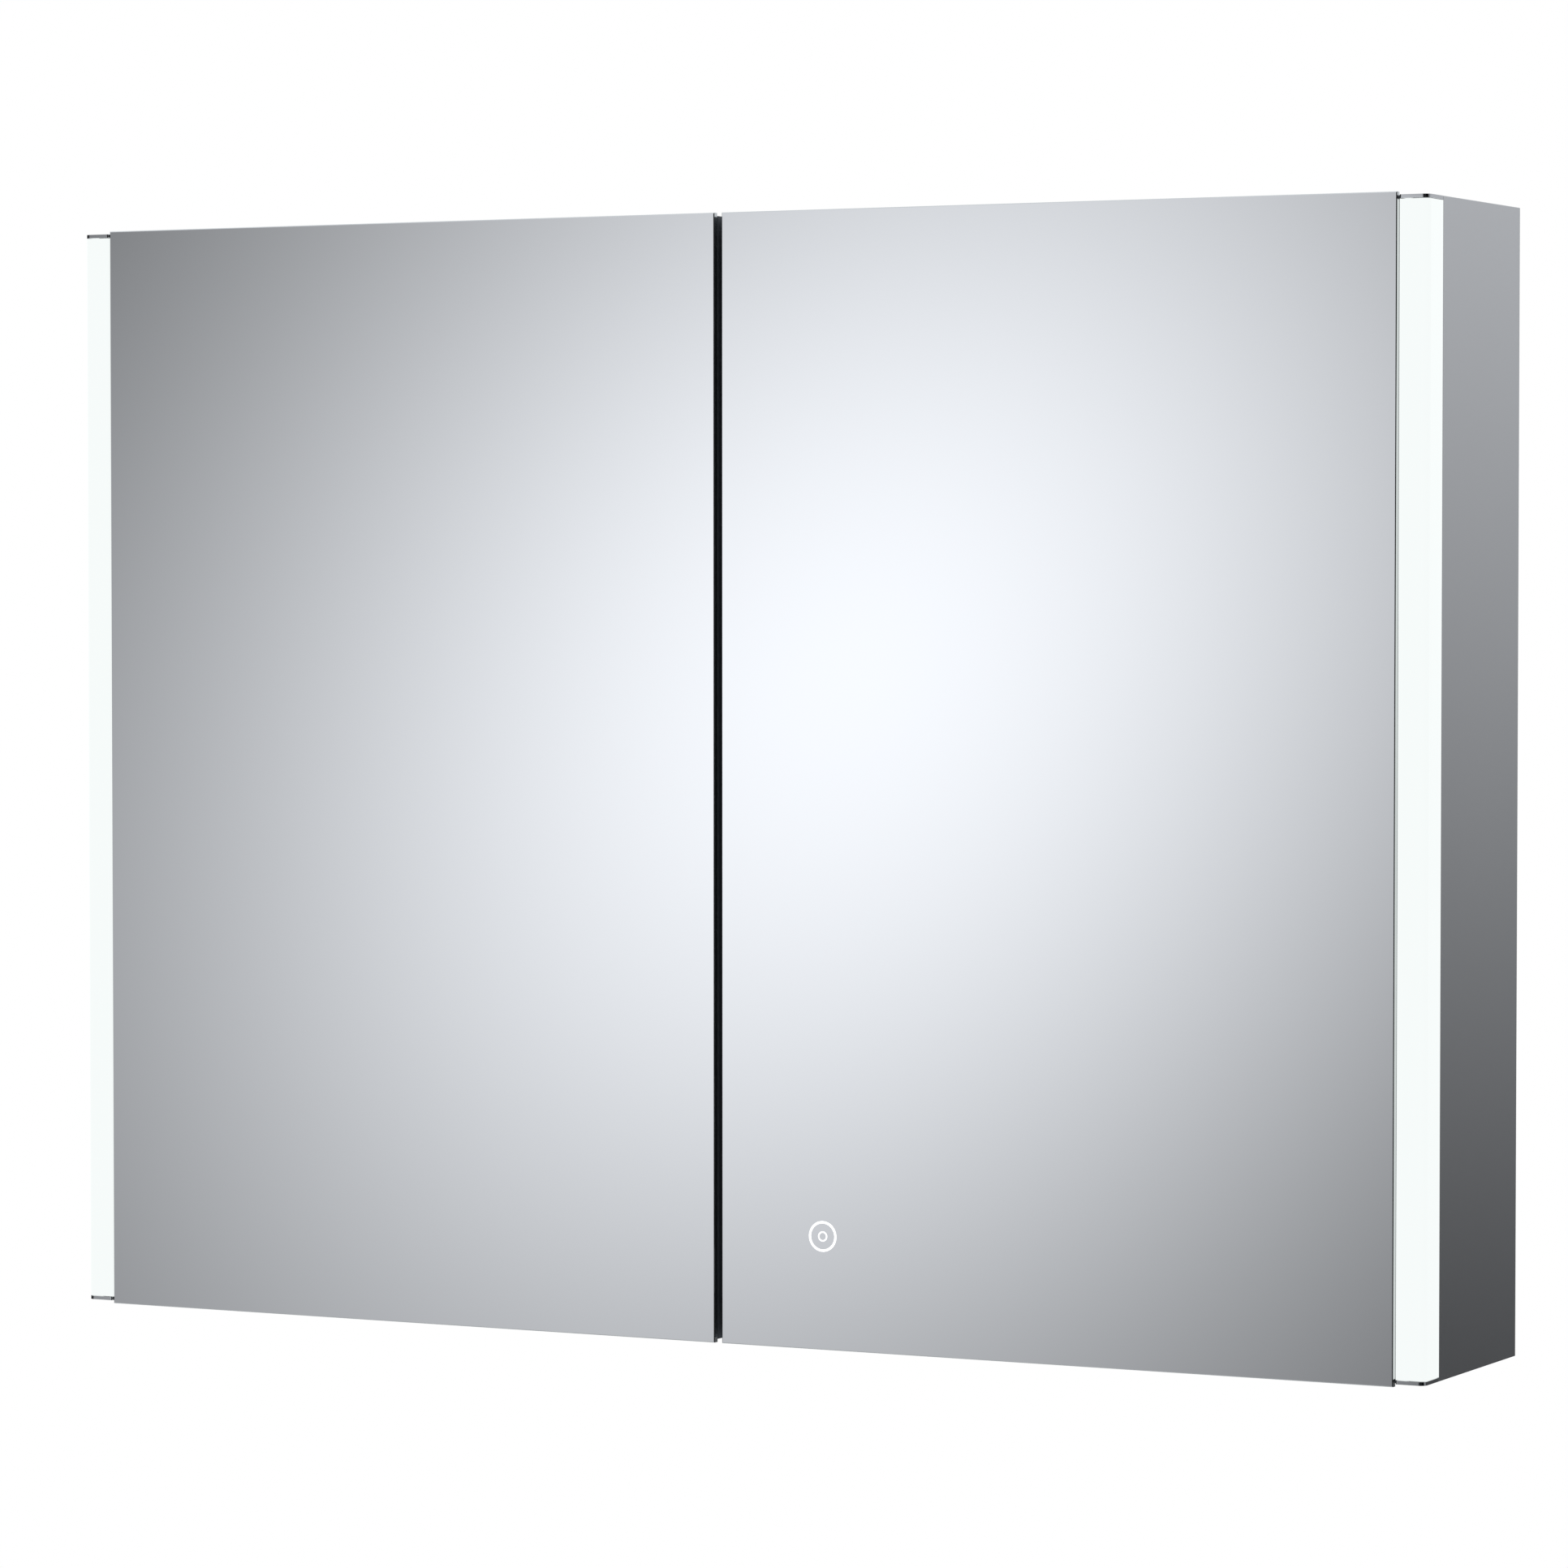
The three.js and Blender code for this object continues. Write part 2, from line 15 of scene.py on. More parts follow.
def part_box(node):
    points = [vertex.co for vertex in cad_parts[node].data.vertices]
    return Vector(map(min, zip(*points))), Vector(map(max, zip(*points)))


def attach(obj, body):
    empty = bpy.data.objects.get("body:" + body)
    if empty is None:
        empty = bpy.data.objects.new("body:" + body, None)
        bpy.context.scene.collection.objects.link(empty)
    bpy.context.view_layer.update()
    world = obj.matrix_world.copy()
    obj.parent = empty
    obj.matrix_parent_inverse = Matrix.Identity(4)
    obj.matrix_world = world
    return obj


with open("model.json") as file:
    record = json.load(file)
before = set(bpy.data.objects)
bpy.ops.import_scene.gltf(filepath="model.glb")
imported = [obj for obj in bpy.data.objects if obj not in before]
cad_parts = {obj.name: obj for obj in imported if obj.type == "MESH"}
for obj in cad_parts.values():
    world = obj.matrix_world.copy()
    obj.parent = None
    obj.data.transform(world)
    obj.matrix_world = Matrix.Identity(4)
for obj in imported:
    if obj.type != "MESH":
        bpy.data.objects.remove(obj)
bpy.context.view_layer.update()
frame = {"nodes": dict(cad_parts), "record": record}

MM = 0.001

# Camera: turn and place, lens and sensor width in millimetres, far limit of its view in metres
VIEW_YAW = math.radians(27.009)
VIEW_PITCH = math.radians(-1.990)
VIEW_TURN = Euler((math.pi / 2 + VIEW_PITCH, 0, VIEW_YAW), "XYZ")
CAMERA_PLACE = Vector((1.46705, -2.93299, 0.10752))
LENS = 136.92
SENSOR = 36.0
FAR_CLIP = 60

# Studio
FLOOR_Z = -2.4
FLOOR_RADIUS = 7.5
STUDIO_TINT = (0.968, 0.992, 1.036)

# Area lamps, aimed at the origin: place, size and watts
LAMPS = {
    "front_lamp": ((-1.5, -6.0, 3.0), 3.0, 240),
    "side_lamp": ((5.0, -3.0, 2.5), 2.5, 60),
}

# Soft oval light seen in the door mirrors: slopes off the mirrored line of sight, tilt, its two
# radii as slopes, how it falls off, its level, and the cosine of the angle where it is cut off
GLOW_ACROSS = 0.0118
GLOW_UP = 0.0187
GLOW_TILT = math.radians(54)
GLOW_RADII = (0.1435, 0.1086)
GLOW_POWER = 0.95
GLOW_LEVEL = 0.945
GLOW_CUT = 0.3

# Facets are welded within a distance, edges flatter than one angle are shaded smooth, and edges
# sharper than another are rounded
WELD_DISTANCE = 0.005 * MM
SMOOTH_BELOW = math.radians(35)
ROUND_ABOVE = math.radians(40)

# Height of the relief that grain gives a surface
FINE_RELIEF = 0.05 * MM

# The parts of a noise's range that roughness is spread over
WIDE = (0.25, 0.75)
MIDDLE = (0.3, 0.7)

# A face of the glass counts as front or back when the normal's Y is past this
FLAT_FACE = 0.95

# Fixings
PLATE_SCREW_INSET = 6 * MM  # from the top and bottom of a hinge's plate
ARM_FACE_OFFSET = 13.3 * MM  # from the plate's face to the arm's
ARM_SCREW_SETBACKS = (21 * MM, 8 * MM)  # from the arm's rear end
EAR_SCREW_INSET = 5 * MM  # from the top and bottom of a cup's ears
SLEEVE_PITCH = 32 * MM
COVER_SCREW_XS = (-0.35, -0.12, 0.12, 0.35)

scene = bpy.context.scene
NODES = frame["nodes"]
SIDES = {"right": 1, "left": -1}
LEVELS = ("upper", "lower")


# ---------------------------------------------------------------- node helpers


class Graph:
    """A node tree with short calls for the maths that the materials and the studio share."""

    def __init__(self, tree):
        self.tree = tree
        tree.nodes.clear()

    def add(self, kind, **settings):
        node = self.tree.nodes.new(kind)
        for key, value in settings.items():
            setattr(node, key, value)
        return node

    def feed(self, socket, value):
        if isinstance(value, bpy.types.NodeSocket):
            self.tree.links.new(value, socket)
        elif value is not None:
            socket.default_value = value

    def math(self, operation, a, b=None, c=None):
        node = self.add("ShaderNodeMath", operation=operation)
        for socket, value in zip(node.inputs, (a, b, c)):
            self.feed(socket, value)
        return node.outputs[0]

    def dot(self, vector, direction):
        node = self.add("ShaderNodeVectorMath", operation="DOT_PRODUCT")
        self.feed(node.inputs[0], vector)
        self.feed(node.inputs[1], tuple(direction))
        return node.outputs["Value"]

    def ramp(self, value, low, high, to_low=0.0, to_high=1.0):
        node = self.add("ShaderNodeMapRange", interpolation_type="SMOOTHSTEP")
        for socket, given in zip(node.inputs, (value, low, high, to_low, to_high)):
            self.feed(socket, given)
        return node.outputs[0]

    def ramp_degrees(self, value, low, high, to_low=0.0, to_high=1.0):
        return self.ramp(value, math.radians(low), math.radians(high), to_low, to_high)

    def window(self, value, rise, fall):
        """1 between two soft edges given in degrees, and 0 outside them."""
        start = self.ramp_degrees(value, *rise)
        end = self.ramp_degrees(value, *fall, 1.0, 0.0)
        return self.math("MULTIPLY", start, end)

    def mix(self, factor, a, b):
        node = self.add("ShaderNodeMix", data_type="RGBA")
        self.feed(node.inputs["Factor"], factor)
        self.feed(node.inputs[6], a)
        self.feed(node.inputs[7], b)
        return node.outputs[2]

    def separate(self, vector):
        node = self.add("ShaderNodeSeparateXYZ")
        self.feed(node.inputs[0], vector)
        return node.outputs

    def coordinate(self, output):
        """X, Y and Z of one of the texture coordinates."""
        return self.separate(self.add("ShaderNodeTexCoord").outputs[output])

    def noise(self, scale, stretch=(1, 1, 1), detail=3.0):
        coordinates = self.add("ShaderNodeTexCoord")
        mapping = self.add("ShaderNodeMapping")
        mapping.inputs["Scale"].default_value = stretch
        self.feed(mapping.inputs["Vector"], coordinates.outputs["Object"])
        node = self.add("ShaderNodeTexNoise")
        node.inputs["Scale"].default_value = scale
        node.inputs["Detail"].default_value = detail
        self.feed(node.inputs["Vector"], mapping.outputs[0])
        return node.outputs["Fac"]

    def bump(self, height, strength, distance):
        node = self.add("ShaderNodeBump")
        node.inputs["Strength"].default_value = strength
        node.inputs["Distance"].default_value = distance
        self.feed(node.inputs["Height"], height)
        return node.outputs["Normal"]


def rgb(r, g, b):
    return (r, g, b, 1.0)


def new_material(name, **sockets):
    """A material of one Principled shader; its Graph and the shader come with it."""
    material = bpy.data.materials.new(name)
    material.use_nodes = True
    graph = Graph(material.node_tree)
    shader = graph.add("ShaderNodeBsdfPrincipled")
    output = graph.add("ShaderNodeOutputMaterial")
    graph.feed(output.inputs["Surface"], shader.outputs[0])
    for socket, value in sockets.items():
        graph.feed(shader.inputs[socket.replace("_", " ")], value)
    return material, graph, shader


def add_grain(graph, shader, cloud, grain, colours, span, roughness, relief):
    """Colour follows one noise. Roughness and a fine relief follow another."""
    graph.feed(shader.inputs["Base Color"], graph.mix(cloud, *colours))
    graph.feed(shader.inputs["Roughness"], graph.ramp(grain, *span, *roughness))
    graph.feed(shader.inputs["Normal"], graph.bump(grain, relief, FINE_RELIEF))


# ---------------------------------------------------------------- materials


def make_satin_metal():
    """Anodised outer panels with a very fine upright brushing."""
    material, graph, shader = new_material("satin_metal", Metallic=1.0)
    grain = graph.noise(240, stretch=(14, 14, 0.25))
    cloud = graph.noise(4)
    colours = rgb(0.47, 0.475, 0.48), rgb(0.50, 0.505, 0.51)
    add_grain(graph, shader, cloud, grain, colours, WIDE, (0.165, 0.205), relief=0.02)
    return material


def make_inner_metal():
    """Pale anodised aluminium inside the cabinet, with a fine upright brushing."""
    material, graph, shader = new_material("inner_metal", Metallic=0.5)
    grain = graph.noise(110, stretch=(12, 12, 0.5))
    cloud = graph.noise(5)
    colours = rgb(0.70, 0.705, 0.71), rgb(0.76, 0.765, 0.77)
    add_grain(graph, shader, cloud, grain, colours, WIDE, (0.30, 0.38), relief=0.02)
    return material


def make_polished_metal():
    """Polished caps: a painted highlight makes the front bright, a painted dark reflection makes the
    front corners near-black, and the side is satin.
    """
    material, graph, shader = new_material("polished_metal", Metallic=1.0)
    cloud = graph.noise(60)
    normal = graph.coordinate("Normal")
    sideways = graph.math("ABSOLUTE", normal["X"])
    turn = graph.math("ARCTAN2", sideways, graph.math("MULTIPLY", normal["Y"], -1.0))
    # The front corners' radius is painted near-black as a painted dark reflection.
    dark_reflection_mask = graph.window(turn, (5, 10), (36, 44))
    # The flat front is painted lighter than the sides of the same metal: a painted highlight.
    front = graph.ramp_degrees(turn, 5, 12, 1.0, 0.0)
    body = graph.mix(cloud, rgb(0.46, 0.465, 0.475), rgb(0.50, 0.505, 0.515))
    # Light colour of the painted highlight on the front face.
    painted_highlight = graph.mix(cloud, rgb(0.86, 0.87, 0.88), rgb(0.91, 0.92, 0.93))
    # Near-black colour of the painted dark reflection on the front corners.
    painted_dark_reflection = rgb(0.03, 0.031, 0.033)
    colour = graph.mix(dark_reflection_mask, graph.mix(front, body, painted_highlight), painted_dark_reflection)
    graph.feed(shader.inputs["Base Color"], colour)
    graph.feed(shader.inputs["Roughness"], graph.ramp(cloud, *MIDDLE, 0.05, 0.1))
    return material


def make_mirror():
    """Silvered glass: the face is a mirror, the ground edges are grey glass, the arris is a darker
    grey as painted shade, and the back is painted.
    """
    material, graph, shader = new_material("mirror")
    normal = graph.coordinate("Normal")
    front = graph.math("LESS_THAN", normal["Y"], -FLAT_FACE)
    back = graph.math("GREATER_THAN", normal["Y"], FLAT_FACE)
    silver = rgb(0.955, 0.96, 0.965)
    # The arris is painted darker than the ground edges: painted shade on the sloped faces.
    painted_shade_arris = rgb(0.50, 0.515, 0.515)
    edge = rgb(0.62, 0.64, 0.635)
    paint = rgb(0.20, 0.21, 0.22)
    paint_roughness = 0.4
    arris_normal = -0.3
    cloud = graph.noise(35)
    sloping = graph.math("LESS_THAN", normal["Y"], arris_normal)
    rim = graph.mix(sloping, edge, painted_shade_arris)
    colour = graph.mix(front, graph.mix(back, rim, paint), silver)
    graph.feed(shader.inputs["Base Color"], colour)
    graph.feed(shader.inputs["Metallic"], graph.math("SUBTRACT", 1.0, back))
    ground = graph.ramp(cloud, *MIDDLE, 0.08, 0.16)
    off_face = graph.math("MULTIPLY", ground, graph.math("SUBTRACT", 1.0, front))
    painted = graph.math("MULTIPLY", back, paint_roughness)
    graph.feed(shader.inputs["Roughness"], graph.math("ADD", off_face, painted))
    return material


def make_inner_mirror():
    """The mirrors on the doors' inner faces look the other way."""
    material, graph, shader = new_material("inner_mirror", Metallic=1.0)
    face = graph.math("GREATER_THAN", graph.coordinate("Normal")["Y"], FLAT_FACE)
    edge, silver = rgb(0.42, 0.47, 0.46), rgb(0.94, 0.95, 0.955)
    edge_roughness = 0.1
    graph.feed(shader.inputs["Base Color"], graph.mix(face, edge, silver))
    smudge = graph.ramp(graph.noise(25), 0.45, 0.8, 0.004, 0.02)
    off_face = graph.math("SUBTRACT", 1.0, face)
    roughness = graph.math("MULTIPLY_ADD", off_face, edge_roughness, smudge)
    graph.feed(shader.inputs["Roughness"], roughness)
    return material


def make_door_board():
    """Dark grey lacquer."""
    material, graph, shader = new_material("door_board", Specular_IOR_Level=0.4)
    grain = graph.noise(900, detail=2)
    cloud = graph.noise(12)
    colours = rgb(0.056, 0.063, 0.072), rgb(0.066, 0.074, 0.083)
    add_grain(graph, shader, cloud, grain, colours, MIDDLE, (0.46, 0.56), relief=0.04)
    return material


def make_diffuser():
    """Milky plastic lit evenly from inside."""
    material, graph, shader = new_material("diffuser", Roughness=0.45, Specular_IOR_Level=0.15)
    shader.inputs["Base Color"].default_value = rgb(0.03, 0.031, 0.031)
    shader.inputs["Emission Color"].default_value = rgb(0.96, 1.0, 0.99)
    shader.inputs["Emission Strength"].default_value = 0.925
    grain = graph.noise(1200, detail=1)
    graph.feed(shader.inputs["Normal"], graph.bump(grain, strength=0.05, distance=0.02 * MM))
    return material


def make_aluminium():
    """Extruded aluminium with lines along X."""
    material, graph, shader = new_material("aluminium", Metallic=1.0)
    lines = graph.noise(120, stretch=(0.3, 10, 10))
    colours = rgb(0.60, 0.605, 0.61), rgb(0.70, 0.705, 0.71)
    add_grain(graph, shader, lines, lines, colours, MIDDLE, (0.28, 0.42), relief=0.1)
    return material


def make_hinge_steel():
    """Nickel-plated steel."""
    material, graph, shader = new_material("hinge_steel", Metallic=1.0)
    rub = graph.noise(120, stretch=(1, 1, 3))
    colours = rgb(0.70, 0.69, 0.67), rgb(0.75, 0.74, 0.72)
    add_grain(graph, shader, rub, rub, colours, MIDDLE, (0.2, 0.27), relief=0.02)
    return material


def make_shelf_glass():
    material, graph, shader = new_material("shelf_glass", Transmission_Weight=1.0, IOR=1.52)
    shader.inputs["Base Color"].default_value = rgb(0.90, 0.97, 0.94)
    graph.feed(shader.inputs["Roughness"], graph.ramp(graph.noise(30), 0.55, 0.8, 0.0, 0.03))
    return material


def make_plastic(name, colours, rough):
    material, graph, shader = new_material(name)
    grain = graph.noise(1500, detail=2)
    spread = 0.08
    roughness = (rough - spread, rough + spread)
    add_grain(graph, shader, graph.noise(20), grain, colours, MIDDLE, roughness, relief=0.2)
    return material


def make_led():
    """White circuit strip with warm chips at an even pitch."""
    material, graph, shader = new_material("led", Roughness=0.5)
    pitch = 8 * MM
    middle, half_chip = 0.5, 0.18
    cell = graph.math("FRACT", graph.math("DIVIDE", graph.coordinate("Object")["Z"], pitch))
    chip = graph.math("COMPARE", cell, middle, half_chip)
    strip, phosphor = rgb(0.9, 0.9, 0.88), rgb(0.95, 0.80, 0.35)
    graph.feed(shader.inputs["Base Color"], graph.mix(chip, strip, phosphor))
    shader.inputs["Emission Color"].default_value = rgb(1.0, 0.97, 0.9)
    shader.inputs["Emission Strength"].default_value = 1.0
    return material


def make_touch_mark():
    """Clear etched lines in the silvering, lit from behind."""
    material, graph, shader = new_material("touch_mark", Roughness=0.4)
    shader.inputs["Base Color"].default_value = rgb(0.6, 0.6, 0.6)
    shader.inputs["Emission Color"].default_value = rgb(1.0, 1.0, 1.0)
    shader.inputs["Emission Strength"].default_value = 0.85
    return material


def make_materials():
    white = rgb(0.72, 0.72, 0.7), rgb(0.8, 0.8, 0.78)
    dark = rgb(0.012, 0.012, 0.013), rgb(0.02, 0.02, 0.021)
    return {
        "satin_metal": make_satin_metal(),
        "inner_metal": make_inner_metal(),
        "polished_metal": make_polished_metal(),
        "mirror": make_mirror(),
        "inner_mirror": make_inner_mirror(),
        "door_board": make_door_board(),
        "diffuser": make_diffuser(),
        "aluminium": make_aluminium(),
        "hinge_steel": make_hinge_steel(),
        "shelf_glass": make_shelf_glass(),
        "white_plastic": make_plastic("white_plastic", white, 0.45),
        "dark_plastic": make_plastic("dark_plastic", dark, 0.4),
        "led": make_led(),
        "touch_mark": make_touch_mark(),
    }


MATERIALS = make_materials()


# ---------------------------------------------------------------- CAD nodes


def soft_edge_group():
    """Geometry nodes that weld a faceted part and smooth it, keeping edges sharper than 35 degrees."""
    group = bpy.data.node_groups.new("smooth_curves", "GeometryNodeTree")
    group.interface.new_socket("Geometry", in_out="INPUT", socket_type="NodeSocketGeometry")
    group.interface.new_socket("Geometry", in_out="OUTPUT", socket_type="NodeSocketGeometry")
    add, link = group.nodes.new, group.links.new
    source, sink = add("NodeGroupInput"), add("NodeGroupOutput")
    weld = add("GeometryNodeMergeByDistance")
    weld.inputs["Distance"].default_value = WELD_DISTANCE
    angle = add("GeometryNodeInputMeshEdgeAngle")
    sharp = add("FunctionNodeCompare")
    sharp.data_type = "FLOAT"
    sharp.operation = "LESS_THAN"
    sharp.inputs[1].default_value = SMOOTH_BELOW
    faces, edges = add("GeometryNodeSetShadeSmooth"), add("GeometryNodeSetShadeSmooth")
    faces.domain, edges.domain = "FACE", "EDGE"
    link(source.outputs[0], weld.inputs[0])
    link(weld.outputs[0], faces.inputs[0])
    link(faces.outputs[0], edges.inputs[0])
    link(angle.outputs["Unsigned Angle"], sharp.inputs[0])
    link(sharp.outputs[0], edges.inputs["Shade Smooth"])
    link(edges.outputs[0], sink.inputs[0])
    return group


SMOOTH_CURVES = soft_edge_group()


def finish_surface(obj, edge=0.0):
    """Welds the facets, rounds sharp edges by a small radius, and smooths the curves."""
    if edge:
        weld = obj.modifiers.new("weld", "WELD")
        weld.merge_threshold = WELD_DISTANCE
        bevel = obj.modifiers.new("edges", "BEVEL")
        bevel.width = edge
        bevel.segments = 2
        bevel.limit_method = "ANGLE"
        bevel.angle_limit = ROUND_ABOVE
        bevel.use_clamp_overlap = True
    smooth = obj.modifiers.new("smooth", "NODES")
    smooth.node_group = SMOOTH_CURVES
    flat = obj.modifiers.new("flat_faces", "WEIGHTED_NORMAL")
    flat.keep_sharp = True
    flat.weight = 100


def look_of(name, slot):
    """Some nodes share a finish in the record but look different in their place."""
    if name.startswith("back_mirror"):
        return "inner_mirror"
    if name.startswith(("inner_wall", "driver_cover", "back_panel")):
        return "inner_metal"
    return slot


def dress_cad_nodes():
    slot_of = {part["node"]: part["material_slot"] for part in frame["record"]["subparts"]}
    edges = {
        "satin_metal": 0.25 * MM,
        "polished_metal": 0.2 * MM,
        "door_board": 0.3 * MM,
        "aluminium": 0.15 * MM,
        "shelf_glass": 0.6 * MM,
        "white_plastic": 0.4 * MM,
        "dark_plastic": 0.3 * MM,
    }
    for name, obj in NODES.items():
        slot = slot_of[name]
        look = look_of(name, slot)
        obj.data.materials.clear()
        obj.data.materials.append(MATERIALS[look])
        if slot != "mirror":
            finish_surface(obj, edges.get(slot, 0.0))


# ---------------------------------------------------------------- piece helpers


def mesh_from(bm, name):
    """Makes a mesh of a bmesh, with its faces turned outwards, and frees the bmesh."""
    bmesh.ops.recalc_face_normals(bm, faces=bm.faces)
    mesh = bpy.data.meshes.new(name)
    bm.to_mesh(mesh)
    bm.free()
    return mesh


def place_piece(name, bm, body, slot, look=None):
    """Turns a bmesh into a named piece that rides on a body. Its look is its slot's if not given."""
    mesh = mesh_from(bm, name)
    obj = bpy.data.objects.new(name, mesh)
    scene.collection.objects.link(obj)
    mesh.materials.append(MATERIALS[look or slot])
    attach(obj, body)
    finish_surface(obj)
    return obj


def lathe(profile, segments=32):
    """A closed body turned about Z from (radius, height) points that start and end on the axis."""
    bm = bmesh.new()
    on_axis = 1e-7
    turns = [2 * math.pi * i / segments for i in range(segments)]
    rings = []
    for radius, height in profile:
        if radius < on_axis:
            rings.append([bm.verts.new((0, 0, height))])
            continue
        places = [(radius * math.cos(a), radius * math.sin(a), height) for a in turns]
        rings.append([bm.verts.new(place) for place in places])
    for low, high in zip(rings, rings[1:]):
        for i in range(segments):
            j = (i + 1) % segments
            here, there = i % len(low), j % len(low)
            over_there, over_here = j % len(high), i % len(high)
            corners = [low[here], low[there], high[over_there], high[over_here]]
            unique = list(dict.fromkeys(corners))
            if len(unique) > 2:
                bm.faces.new(unique)
    return bm


def ring(inner, outer, thickness, edge, segments=96):
    """A flat ring about Z with softened edges."""
    section = [
        (inner, 0),
        (outer, 0),
        (outer, thickness - edge),
        (outer - edge, thickness),
        (inner + edge, thickness),
        (inner, thickness - edge),
    ]
    bm = bmesh.new()
    turns = []
    for i in range(segments):
        a = 2 * math.pi * i / segments
        turns.append([bm.verts.new((r * math.cos(a), r * math.sin(a), h)) for r, h in section])
    for i in range(segments):
        here, there = turns[i], turns[(i + 1) % segments]
        for k in range(len(section)):
            n = (k + 1) % len(section)
            bm.faces.new((here[k], here[n], there[n], there[k]))
    return bm


def cross_screw(radius, height):
    """A domed screw head with a cross recess, standing on z = 0, as a mesh."""
    steps = 6
    rim, crown = 0.35, 0.65
    dome = [(0, 0), (radius, 0), (radius, rim * height)]
    for i in range(1, steps):
        a = 0.5 * math.pi * i / steps
        dome.append((radius * math.cos(a), height * (rim + crown * math.sin(a))))
    dome.append((0, height))
    mesh = mesh_from(lathe(dome, segments=40), "screw_head")
    arm, half_width, depth = 0.58 * radius, 0.13 * radius, 0.62 * height
    outline = []
    for quarter in range(4):
        c = round(math.cos(quarter * math.pi / 2))
        s = round(math.sin(quarter * math.pi / 2))
        for x, y in ((arm, -half_width), (arm, half_width), (half_width, half_width)):
            outline.append((x * c - y * s, x * s + y * c))
    taper, above = 0.8, 1.5
    cutter = bmesh.new()
    low = [cutter.verts.new((taper * x, taper * y, height - depth)) for x, y in outline]
    high = [cutter.verts.new((x, y, above * height)) for x, y in outline]
    cutter.faces.new(low[::-1])
    cutter.faces.new(high)
    for i in range(len(low)):
        j = (i + 1) % len(low)
        cutter.faces.new((low[i], low[j], high[j], high[i]))
    return boolean_cut(mesh, mesh_from(cutter, "screw_cutter"))


def boolean_cut(mesh, cutter_mesh):
    """The first mesh less the second."""
    base = bpy.data.objects.new("cut_base", mesh)
    tool = bpy.data.objects.new("cut_tool", cutter_mesh)
    for obj in (base, tool):
        scene.collection.objects.link(obj)
    cut = base.modifiers.new("cut", "BOOLEAN")
    cut.object = tool
    cut.operation = "DIFFERENCE"
    cut.solver = "EXACT"
    bpy.context.view_layer.update()
    depsgraph = bpy.context.evaluated_depsgraph_get()
    result = bpy.data.meshes.new_from_object(base.evaluated_get(depsgraph))
    for obj in (base, tool):
        bpy.data.objects.remove(obj)
    return result


def facing(place, direction):
    """The turn and shift that stand a Z-up mesh on a place, pointing in a direction."""
    turn = Vector((0, 0, 1)).rotation_difference(Vector(direction)).to_matrix().to_4x4()
    return Matrix.Translation(Vector(place)) @ turn


def scatter(name, mesh, places, body, slot):
    """Copies of one mesh at several (place, direction, turn) as one piece."""
    bm = bmesh.new()
    for place, direction, turn in places:
        start = len(bm.verts)
        bm.from_mesh(mesh)
        bm.verts.ensure_lookup_table()
        spin = Matrix.Rotation(turn, 4, "Z")
        bmesh.ops.transform(bm, matrix=facing(place, direction) @ spin, verts=bm.verts[start:])
    return place_piece(name, bm, body, slot)


def evenly(low, high, count, margin):
    """Places at an even pitch from low to high, kept a margin inside both."""
    return [low + margin + (high - low - 2 * margin) * i / (count - 1) for i in range(count)]


# ---------------------------------------------------------------- pieces


def make_touch_mark_pieces():
    """Two fine rings on the right mirror, over the touch sensor."""
    low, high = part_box("touch_sensor")
    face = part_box("front_mirror_right")[0].y
    centre = Vector(((low.x + high.x) / 2, face, (low.z + high.z) / 2))
    proud, edge = 0.06 * MM, 0.02 * MM
    sizes = {"outer": (8.1 * MM, 1.25 * MM), "inner": (2.7 * MM, 0.75 * MM)}
    for name, (radius, line) in sizes.items():
        bm = ring(radius - line, radius, 2 * proud, edge)
        place = facing(centre + Vector((0, proud, 0)), (0, -1, 0))
        bmesh.ops.transform(bm, matrix=place, verts=bm.verts)
        place_piece(f"touch_mark_{name}", bm, "door_right", "white_plastic", "touch_mark")


def make_hinge_screws():
    """Plate and arm screws on the cabinet, and ear screws on the doors."""
    wood_screw = cross_screw(3.4 * MM, 1.9 * MM)
    ear_screw = cross_screw(3.0 * MM, 1.4 * MM)
    arm_screw = cross_screw(2.6 * MM, 1.2 * MM)
    # Turns of the crosses in radians: the first screw's, and the step to the next
    first_turn, arm_turn, ear_turn = 0.4, 1.3, 0.7
    for side, sign in SIDES.items():
        plate_places, arm_places, ear_places = [], [], []
        for level in LEVELS:
            low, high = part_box(f"hinge_plate_{level}_{side}")
            plate_face = low.x if sign > 0 else high.x
            middle_y = (low.y + high.y) / 2
            for i, z in enumerate((low.z + PLATE_SCREW_INSET, high.z - PLATE_SCREW_INSET)):
                plate_places.append(((plate_face, middle_y, z), (-sign, 0, 0), first_turn + i))
            low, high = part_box(f"hinge_arm_{level}_{side}")
            arm_z = (low.z + high.z) / 2
            arm_face = plate_face - sign * ARM_FACE_OFFSET
            for i, setback in enumerate(ARM_SCREW_SETBACKS):
                place = (arm_face, high.y - setback, arm_z)
                arm_places.append((place, (-sign, 0, 0), first_turn + arm_turn * i))
            low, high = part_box(f"hinge_cup_{level}_{side}")
            cup_x = (low.x + high.x) / 2
            for i, z in enumerate((low.z + EAR_SCREW_INSET, high.z - EAR_SCREW_INSET)):
                ear_places.append(((cup_x, high.y, z), (0, 1, 0), first_turn + ear_turn * i))
        scatter(f"plate_screws_{side}", wood_screw, plate_places, "cabinet", "hinge_steel")
        scatter(f"arm_screws_{side}", arm_screw, arm_places, "cabinet", "hinge_steel")
        scatter(f"cup_screws_{side}", ear_screw, ear_places, f"door_{side}", "hinge_steel")


